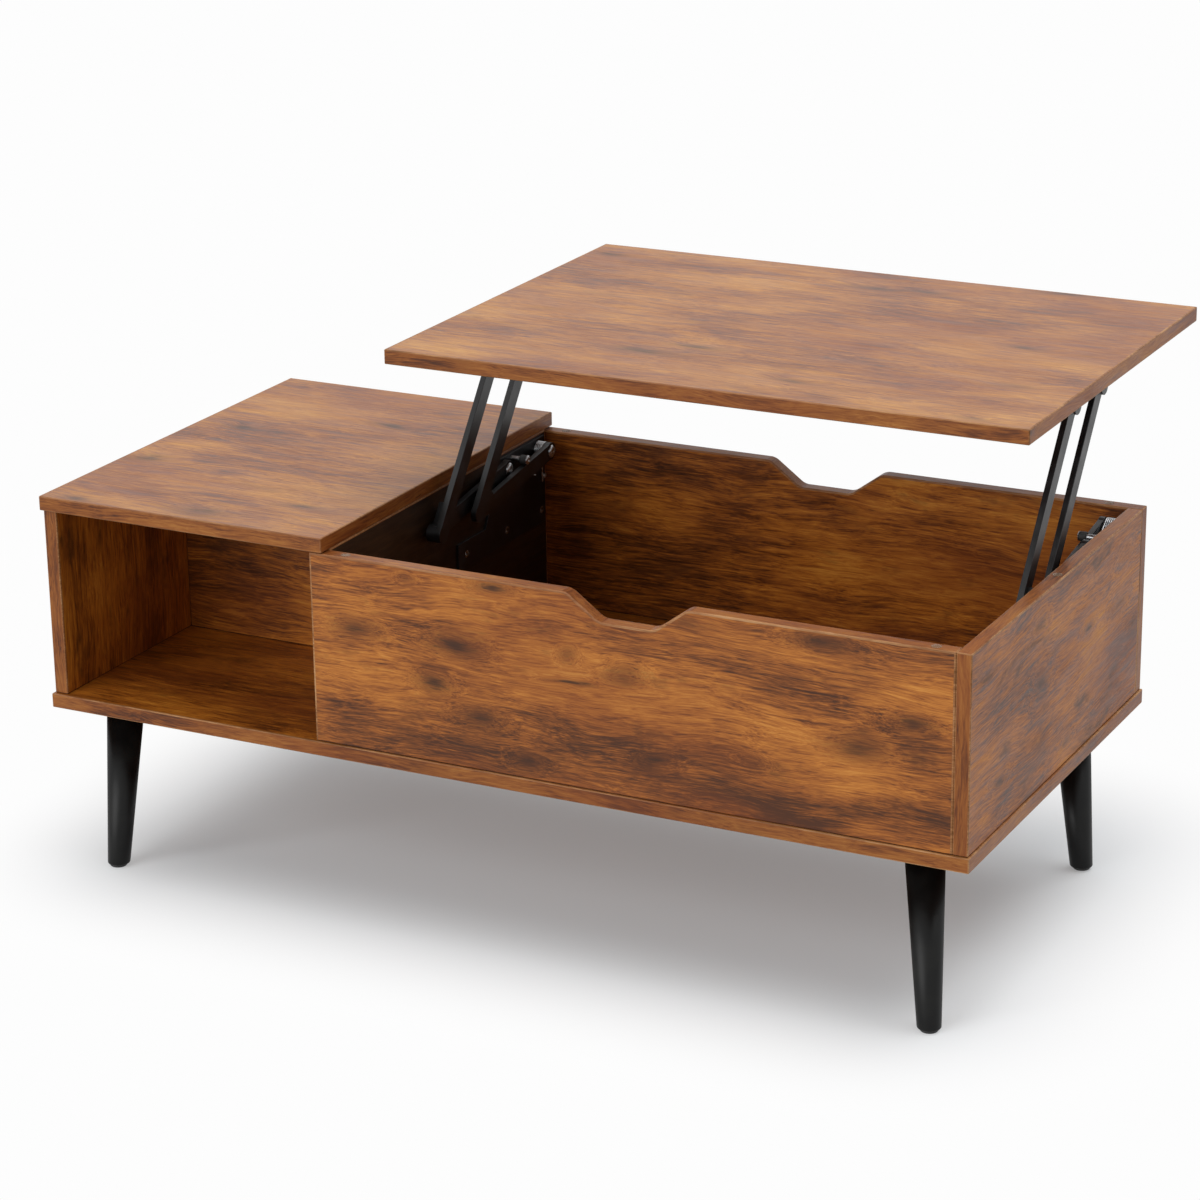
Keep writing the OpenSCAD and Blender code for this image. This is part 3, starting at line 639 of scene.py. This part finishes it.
# sprayed lacquer: a nearly even black, satin, with the wood's own slight unevenness below it
lacquer = finish(
    "satin_black_lacquer_on_beech", 26, "#0a0a0a", "#131312", (0.34, 0.44), 9, 0.15,
    **{"IOR": 1.5, "Specular IOR Level": 0.22},
)

# %% The four legs
# how far the axis of a leg stands in from the case's corner, at the floor and under the board
FOOT_IN = (47.5 * MM, 31.5 * MM)
TOP_IN = (60 * MM, 44 * MM)
FOOT_R, TOP_R, SPARE, RIM_ROUND = 11.5 * MM, 19.5 * MM, 20 * MM, 2.0 * MM
RIM_BELOW = 100 * MM  # of a leg's two rims, only the foot's is this low
case_low, case_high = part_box("bottom_board")


def spot(side, rear, inward, z):
    x = case_high.x - inward[0] if side == "right" else case_low.x + inward[0]
    y = case_high.y - inward[1] if rear else case_low.y + inward[1]
    return Vector((x, y, z))


def leg(side, end):
    node = f"{end}_{side}_leg"
    low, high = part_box(node)
    foot = spot(side, end == "rear", FOOT_IN, 0)
    top = spot(side, end == "rear", TOP_IN, high.z)
    lean = top - foot
    taper = (TOP_R - FOOT_R) / lean.length * SPARE
    bm = bmesh.new()
    bmesh.ops.create_cone(
        bm, cap_ends=True, segments=72, radius1=FOOT_R - taper, radius2=TOP_R + taper,
        depth=lean.length + 2 * SPARE,
    )
    bmesh.ops.rotate(bm, matrix=lean.to_track_quat("Z", "X").to_matrix(), verts=bm.verts)
    bmesh.ops.translate(bm, vec=(foot + top) / 2, verts=bm.verts)
    for z, away in ((low.z, -1), (high.z, 1)):
        whole = list(bm.verts) + list(bm.edges) + list(bm.faces)
        cut = bmesh.ops.bisect_plane(
            bm, geom=whole, plane_co=(0, 0, z), plane_no=(0, 0, away), clear_outer=True,
        )["geom_cut"]
        bmesh.ops.contextual_create(bm, geom=[e for e in cut if isinstance(e, bmesh.types.BMEdge)])
    bm.normal_update()
    foot_rim = [e for e in sharp_edges(bm, 60) if e.verts[0].co.z < RIM_BELOW]
    ease(bm, foot_rim, RIM_ROUND, 4)
    return settle(bm, f"turned_{end}_{side}_leg", "case", "leg_paint", [lacquer], node)


for end in ("front", "rear"):
    for side in ("left", "right"):
        leg(side, end)

# %% [markdown]
# ## The lift mechanism
# Each side has two pressed steel arms between a plate on the wall and a bracket under the top. The
# front arm's foot lies nearer the wall than its long bar, so that the rear arm can fold across it.
# All are powder coated black: a satin skin with the faint pimples of orange peel.

# %% Powder coated steel
# orange peel is about 1.5 mm from bump to bump
powder = finish(
    "black_powder_coat_on_steel", 18, "#0f0f10", "#1c1c1e", (0.3, 0.42), 1.5, 0.1,
    **{"IOR": 1.5, "Specular IOR Level": 0.4},
)

# %% [markdown]
# The arms, plates and brackets already have the right outline in the solids. A copy of such a
# node's loose triangles is merged, its flat faces are joined, and its edges are rounded as a press
# tool leaves them. The node itself is only hidden.

# %% A rounded copy of a pressed part
def merged_copy(node):
    bm = bmesh.new()
    bm.from_mesh(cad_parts[node].data)
    bmesh.ops.remove_doubles(bm, verts=bm.verts, dist=0.002 * MM)
    bmesh.ops.dissolve_limit(
        bm, angle_limit=math.radians(0.5), use_dissolve_boundaries=False, verts=bm.verts,
        edges=bm.edges, delimit={"NORMAL"},
    )
    return bm


def pressed(name, node, body, width=0.7, segments=2):
    bm = merged_copy(node)
    ease(bm, sharp_edges(bm, 50), width * MM, segments)
    return settle(bm, name, body, "black_steel", [powder], node)


for side in ("left", "right"):
    pressed(f"{side}_wall_plate", f"{side}_base_plate", "case", 0.4)
    pressed(f"{side}_front_lift_arm", f"{side}_front_arm", "front_arms")
    pressed(f"{side}_rear_lift_arm", f"{side}_rear_arm", "rear_arms")
    pressed(f"{side}_bracket", f"{side}_top_bracket", "raised_top", 0.4)

# %% [markdown]
# ## Fasteners and small parts
# Pins, washers, spacers, screws and glides are all turned shapes: a lathe cuts them from round bar.
# Each starts as half an outline, from the top down, that is spun round its axis. The solids tell
# where each one stands: a node's merged copy is walked from vertex to vertex, and every island of
# it is one part, whose box gives its place and length.

# %% Turning a shape and finding the loose parts
def turned(profile, steps=32, closed=False):
    bm = bmesh.new()
    line = [bm.verts.new((r * MM, 0, h * MM)) for r, h in profile]
    follow = line[1:] + (line[:1] if closed else [])
    edges = [bm.edges.new(pair) for pair in zip(line, follow)]
    bmesh.ops.spin(
        bm, geom=line + edges, cent=(0, 0, 0), axis=(0, 0, 1), dvec=(0, 0, 0),
        angle=math.tau, steps=steps, use_merge=True,
    )
    bmesh.ops.remove_doubles(bm, verts=bm.verts, dist=0.001 * MM)
    bmesh.ops.recalc_face_normals(bm, faces=bm.faces)
    return bm


def loose_parts(node):
    bm = merged_copy(node)
    waiting, boxes = set(bm.verts), []
    while waiting:
        queue, island = [waiting.pop()], []
        while queue:
            island.append(queue.pop())
            near = {e.other_vert(island[-1]) for e in island[-1].link_edges} & waiting
            waiting -= near
            queue.extend(near)
        low = Vector([min(v.co[i] for v in island) for i in range(3)])
        high = Vector([max(v.co[i] for v in island) for i in range(3)])
        boxes.append((low, high))
    bm.free()
    return sorted(boxes, key=lambda box: tuple(round(v, 5) for v in box[0]))


print("screws under the base", len(loose_parts("panel_screws")))

# %% [markdown]
# A part is turned standing up with its head's top at the origin. It is then laid at its place with
# the head facing inwards to the well, or up, or down.

# %% Setting turned parts out
def head_end(low, high, way):
    middle = (low + high) / 2
    axis = {
        "inwards": Vector((1 if middle.x < WELL_MIDDLE else -1, 0, 0)),
        "up": Vector((0, 0, 1)),
        "down": Vector((0, 0, -1)),
    }[way]
    reach = Vector([(h - l) / 2 * a for l, h, a in zip(low, high, axis)])
    turn = axis.to_track_quat("Z", "Y").to_matrix().to_4x4()
    return Matrix.Translation(middle + reach) @ turn, reach.length * 2 / MM


def add_part(bm, part, at):
    bmesh.ops.transform(part, matrix=at, verts=part.verts)
    mesh = bpy.data.meshes.new("one_part")
    part.to_mesh(mesh)
    part.free()
    bm.from_mesh(mesh)
    bpy.data.meshes.remove(mesh)


def set_out(name, node, body, slot, material, make, way):
    bm = bmesh.new()
    for low, high in loose_parts(node):
        at, length = head_end(low, high, way)
        add_part(bm, make(length), at)
    return settle(bm, name, body, slot, [material], node)


# %% [markdown]
# The pins are zinc plated rivets: a straight shank and a low dome, with the small dent that the
# riveting tool leaves. Zinc has a cold grey shine, cloudy from the bath.

# %% Zinc plated steel and the pivot pins
zinc = finish("zinc_plated_steel", 4, "#a2a6a9", "#cdced0", (0.24, 0.4), 0.7, 0.02, Metallic=1.0)
DOME = [  # with the tool's dent, as shares of the head's radius and height
    (0.0, -0.25), (0.17, -0.25), (0.24, 0.0), (0.45, -0.06),
    (0.68, -0.2), (0.86, -0.45), (0.97, -0.75), (1.0, -1.0),
]


def rivet(length, shank=4.0, head=7.0, high=2.5, chamfer=0.4):
    top = [(r * head, h * high) for r, h in DOME]
    end = [(shank, chamfer - length), (shank - chamfer, -length), (0, -length)]
    return turned(top + [(shank, -high)] + end)


for end, place, body in (
    ("front", "base", "case"), ("rear", "base", "case"),
    ("front", "top", "raised_top"), ("rear", "top", "raised_top"),
):
    node = f"{end}_{place}_pins"
    set_out(f"{end}_{place}_rivets", node, body, "zinc_steel", zinc, rivet, "inwards")
set_out(
    "stop_rivets", "stop_studs", "case", "zinc_steel", zinc,
    lambda length: rivet(length, 3.0, 5.0, 1.5), "inwards",
)
set_out(
    "spring_posts", "spring_anchors", "case", "zinc_steel", zinc,
    lambda length: rivet(length, 2.0, 3.0, 1.0), "inwards",
)

# %% [markdown]
# Washers, spacers and rubber rings are tubes. Their outline is a closed loop that stays off the
# axis. The metal ones have a small chamfer at each rim, and the rubber ones bulge.

# %% Washers, spacers and buffers
def tube(length, outer=7.0, bore=4.05, rim=0.3):
    return turned([
        (bore, -rim), (bore + rim, 0), (outer - rim, 0), (outer, -rim),
        (outer, rim - length), (outer - rim, -length), (bore + rim, -length), (bore, rim - length),
    ], closed=True)


def cushion(length):
    side = [(3.05, 0), (4.1, 0), (4.65, -0.3), (5.0, -1.2)]
    return turned(side + [(r, -length - h) for r, h in reversed(side)], closed=True)


# moulded rubber: matt, nearly black, and dusty grey where it is rubbed
rubber = finish("moulded_black_rubber", 6, "#131313", "#252423", (0.6, 0.8), 0.8, 0.05, IOR=1.52)
for node, body in (
    ("front_base_washer", "case"), ("rear_base_spacer", "case"),
    ("front_top_washer", "raised_top"), ("rear_top_washer", "raised_top"),
):
    set_out(f"{node}_pair", f"{node}s", body, "zinc_steel", zinc, tube, "inwards")
set_out("rubber_stops", "stop_buffers", "case", "buffer_rubber", rubber, cushion, "inwards")

# %% [markdown]
# A screw's head is left open when it is turned. A ring of faces bridges its rim to the outline of
# the tool's socket, a cross or a hexagon, and the outline is pushed down and narrowed to make the
# socket's walls.

# %% Screws with a socket
CROSS = [
    (2.1, -0.5), (2.1, 0.5), (0.7, 0.7), (0.5, 2.1), (-0.5, 2.1), (-0.7, 0.7),
    (-2.1, 0.5), (-2.1, -0.5), (-0.7, -0.7), (-0.5, -2.1), (0.5, -2.1), (0.7, -0.7),
]
HEXAGON = [(2.2 * math.cos(i * math.tau / 6), 2.2 * math.sin(i * math.tau / 6)) for i in range(6)]


def with_socket(bm, outline, deep, narrowed):
    rim = [e for e in bm.edges if e.is_boundary]
    corners = [bm.verts.new((x * MM, y * MM, 0)) for x, y in outline]
    edges = [bm.edges.new(pair) for pair in zip(corners, corners[1:] + corners[:1])]
    bmesh.ops.bridge_loops(bm, edges=rim + edges)
    face = bm.faces.new(corners)
    grown = bmesh.ops.extrude_face_region(bm, geom=[face, *face.edges])["geom"]
    bottom = [v for v in grown if isinstance(v, bmesh.types.BMVert)]
    bmesh.ops.scale(bm, vec=(narrowed, narrowed, 1), verts=bottom)
    bmesh.ops.translate(bm, vec=(0, 0, -deep * MM), verts=bottom)
    return bm


def threaded(root, crest, start, end, pitch):
    steps = int((end - start) / pitch)
    ridge = ((root, 0.1), (crest, 0.5), (root, 0.9))
    return [(r, -start - (i + part) * pitch) for i in range(steps) for r, part in ridge]


def wood_screw(length):
    head = [(3.7, 0), (4.0, -0.2), (2.0, -2.0), (2.0, -4.0)]
    tip = [(1.3, 2.2 - length), (0.25, 0.1 - length), (0, -length)]
    thread = threaded(1.4, 2.0, 4.0, length - 2.2, 1.6)
    return with_socket(turned(head + thread + tip), CROSS, 1.7, 0.45)


def panel_screw(length):
    head = [(4.5, 0), (4.8, -0.3), (4.8, -1.4), (3.1, -3.0), (3.1, -8.0)]
    tip = [(2.2, 3 - length), (1.6, -length), (0, -length)]
    thread = threaded(2.3, 3.1, 8.0, length - 3, 2.6)
    return with_socket(turned(head + thread + tip, 36), HEXAGON, 2.4, 0.9)


set_out("plate_screws", "base_plate_screws", "case", "zinc_steel", zinc, wood_screw, "inwards")
set_out(
    "bracket_fixing_screws", "bracket_screws", "raised_top", "zinc_steel", zinc, wood_screw, "down",
)
set_out("panel_fixing_screws", "panel_screws", "case", "zinc_steel", zinc, panel_screw, "down")

# %% [markdown]
# A hanger bolt joins each leg to the base board. It screws into a barrel that is pressed into the
# board. A glide of hard plastic with a nail moulded in keeps the foot off the floor.

# %% Leg fixings and foot glides
def hanger_bolt(length):
    top = [(0, 0), (3.4, 0), (4.0, -0.6)]
    low = [(3.0, 2.5 - length), (0.6, -length), (0, -length)]
    return turned(top + threaded(3.3, 4.0, 1.0, length - 3, 1.25) + low, 24)


def barrel(length):
    return tube(length, 6.0, 4.05, 0.5)


def glide(length):
    # head down: its first 3 mm are the disc that stands on the floor
    disc = [(0, 0), (6.8, 0), (8.2, -0.4), (8.9, -1.2), (9.0, -2.1), (8.7, -3.0)]
    return turned(disc + [(1.5, -3.0), (1.5, 2.5 - length), (0, -length)], 40)


# moulded polyethylene: a dull black with a waxy sheen
plastic = finish(
    "moulded_black_polyethylene", 8, "#121212", "#1f1f1f", (0.38, 0.55), 0.6, 0.03, IOR=1.51,
)
set_out("hanger_bolts", "leg_bolts", "case", "zinc_steel", zinc, hanger_bolt, "up")
set_out("threaded_barrels", "leg_inserts", "case", "zinc_steel", zinc, barrel, "down")
set_out("nail_in_glides", "foot_glides", "case", "black_plastic", plastic, glide, "down")

# %% [markdown]
# Five clear silicone drops on the rim of the well keep the closed top from knocking. They are
# nearly invisible: soft, a little cloudy, and shaped by surface tension.

# %% Silicone drops
silicone = finish(
    "clear_silicone", 5, "#b9a48c", "#d9cdbd", (0.18, 0.3), 1.2, 0.02,
    **{"IOR": 1.41, "Alpha": 0.3},
)


def drop(length):
    arc = [(0, 0), (1.2, 0.02), (2.4, 0.11), (3.5, 0.28), (4.3, 0.5), (4.8, 0.78), (5.0, 1.0)]
    return turned([(r, -h * length) for r, h in arc] + [(0, -length)])


set_out("silicone_drops", "bumper_pads", "case", "clear_pad", silicone, drop, "up")

# %% [markdown]
# Fluted beech dowels line the boards up and hold them with glue. A dowel is a short bar with its
# ends chamfered. The flutes let air and glue out of the hole: they are cut with an inset along the
# bar, pushed in a little.

# %% Beech dowels
DOWEL_R, DOWEL_END_R, DOWEL_CHAMFER = 4.0, 3.3, 1.2
FLUTE_RIM, FLUTE_DEEP = 0.2 * MM, 0.3 * MM


def dowel(length):
    half = length / 2
    upper = [(0, half), (DOWEL_END_R, half), (DOWEL_R, half - DOWEL_CHAMFER)]
    bm = turned(upper + [(r, -h) for r, h in reversed(upper)], 24)
    bm.normal_update()
    sides = [f for f in bm.faces if abs(f.normal.z) < 0.1][::2]
    bmesh.ops.inset_individual(bm, faces=sides, thickness=FLUTE_RIM, depth=-FLUTE_DEEP)
    return bm


# turned beech: pale and dull, with its fine rays
beech = finish("turned_beech", 1.2, "#c39763", "#dcbd92", (0.5, 0.62), 0.9, 0.08, IOR=1.5)
bm = bmesh.new()
for low, high in loose_parts("dowels"):
    size = high - low
    way = max(range(3), key=lambda i: size[i])
    axis = Vector([1 if i == way else 0 for i in range(3)])
    turn = axis.to_track_quat("Z", "Y").to_matrix().to_4x4()
    add_part(bm, dowel(size[way] / MM), Matrix.Translation((low + high) / 2) @ turn)
settle(bm, "fluted_dowels", "case", "dowel_wood", [beech], "dowels")

# %% [markdown]
# ## Springs
# A torsion spring sits round each rear spacer and takes the weight of the top. It is one wire: a
# leg that presses on a post, four turns and a part of one, and a leg that ends in a hook under the
# arm. The wire's round section is extruded up the first leg, spun with a little step sideways for
# the coil, and extruded again for the second leg and the hook. The right spring is drawn as the
# left one and then mirrored.

# %% Drawing the wire
WIRE, COIL, TURNS = 0.9 * MM, 8.65 * MM, 4
FOOT_AT = math.radians(188.6)  # how the arm's foot lies, from +Y towards +Z
HOOK_OUT, HOOK_BELOW, HOOK_LONG, HOOK_BEND = 40 * MM, 9.63 * MM, 9 * MM, 1.5 * MM


def onward(bm, face, by):
    grown = bmesh.ops.extrude_face_region(bm, geom=[face, *face.edges])["geom"]
    bmesh.ops.translate(bm, vec=by, verts=[v for v in grown if isinstance(v, bmesh.types.BMVert)])
    return next(f for f in grown if isinstance(f, bmesh.types.BMFace))


def round_bend(bm, face, cent, axis, angle, steps, dvec=(0, 0, 0)):
    section = [face, *face.edges, *face.verts]
    turn = bmesh.ops.spin(
        bm, geom=section, cent=cent, axis=axis, dvec=dvec, angle=angle, steps=steps,
    )
    return next(f for f in turn["geom_last"] if isinstance(f, bmesh.types.BMFace))


def spring_wire(middle, x0, x1, low_z):
    hook = middle + Vector((0, math.cos(FOOT_AT), math.sin(FOOT_AT))) * HOOK_OUT
    hook += Vector((0, -math.sin(FOOT_AT), math.cos(FOOT_AT))) * HOOK_BELOW
    reach = (hook - middle).length
    leave = math.atan2(hook.z - middle.z, hook.y - middle.y) - math.acos(COIL / reach)
    along = Vector((0, -math.sin(leave), math.cos(leave)))
    long = math.sqrt(reach ** 2 - COIL ** 2)
    angle = leave % math.tau + TURNS * math.tau
    steps = 24 * TURNS + 8
    bm = bmesh.new()
    bmesh.ops.create_circle(bm, cap_ends=True, radius=WIRE, segments=12)
    bmesh.ops.translate(bm, vec=(x0, middle.y + COIL, low_z), verts=bm.verts)
    end = onward(bm, list(bm.faces)[0], (0, 0, middle.z - low_z))
    centre = Vector((x0, middle.y, middle.z))
    end = round_bend(bm, end, centre, (1, 0, 0), angle, steps, ((x1 - x0) / steps, 0, 0))
    end = onward(bm, end, along * (long - HOOK_BEND))
    corner = end.calc_center_median() + Vector((HOOK_BEND, 0, 0))
    end = round_bend(bm, end, corner, along.cross(Vector((1, 0, 0))), math.radians(90), 6)
    onward(bm, end, (HOOK_LONG - HOOK_BEND, 0, 0))
    print("spring leaves the coil at", round(math.degrees(leave) % 360, 1), "degrees")
    return bm


# %% The two springs
COIL_ROOM, ARM_ROOM = 0.2 * MM, 0.9 * MM
for side in ("left", "right"):
    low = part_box("left_spring")[0]
    pin_low, pin_high = loose_parts("rear_base_pins")[0]
    middle = (pin_low + pin_high) / 2
    x0 = low.x + WIRE + COIL_ROOM
    x1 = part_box("left_rear_arm")[0].x - ARM_ROOM - WIRE - COIL_ROOM
    bm = spring_wire(middle, x0, x1, low.z)
    if side == "right":
        bmesh.ops.scale(bm, vec=(-1, 1, 1), verts=bm.verts)
        bmesh.ops.translate(bm, vec=(2 * WELL_MIDDLE, 0, 0), verts=bm.verts)
        x0, x1 = 2 * WELL_MIDDLE - x0, 2 * WELL_MIDDLE - x1
    piece = settle(bm, f"{side}_torsion_spring", None, "zinc_steel", [zinc], f"{side}_spring")
    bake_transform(piece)
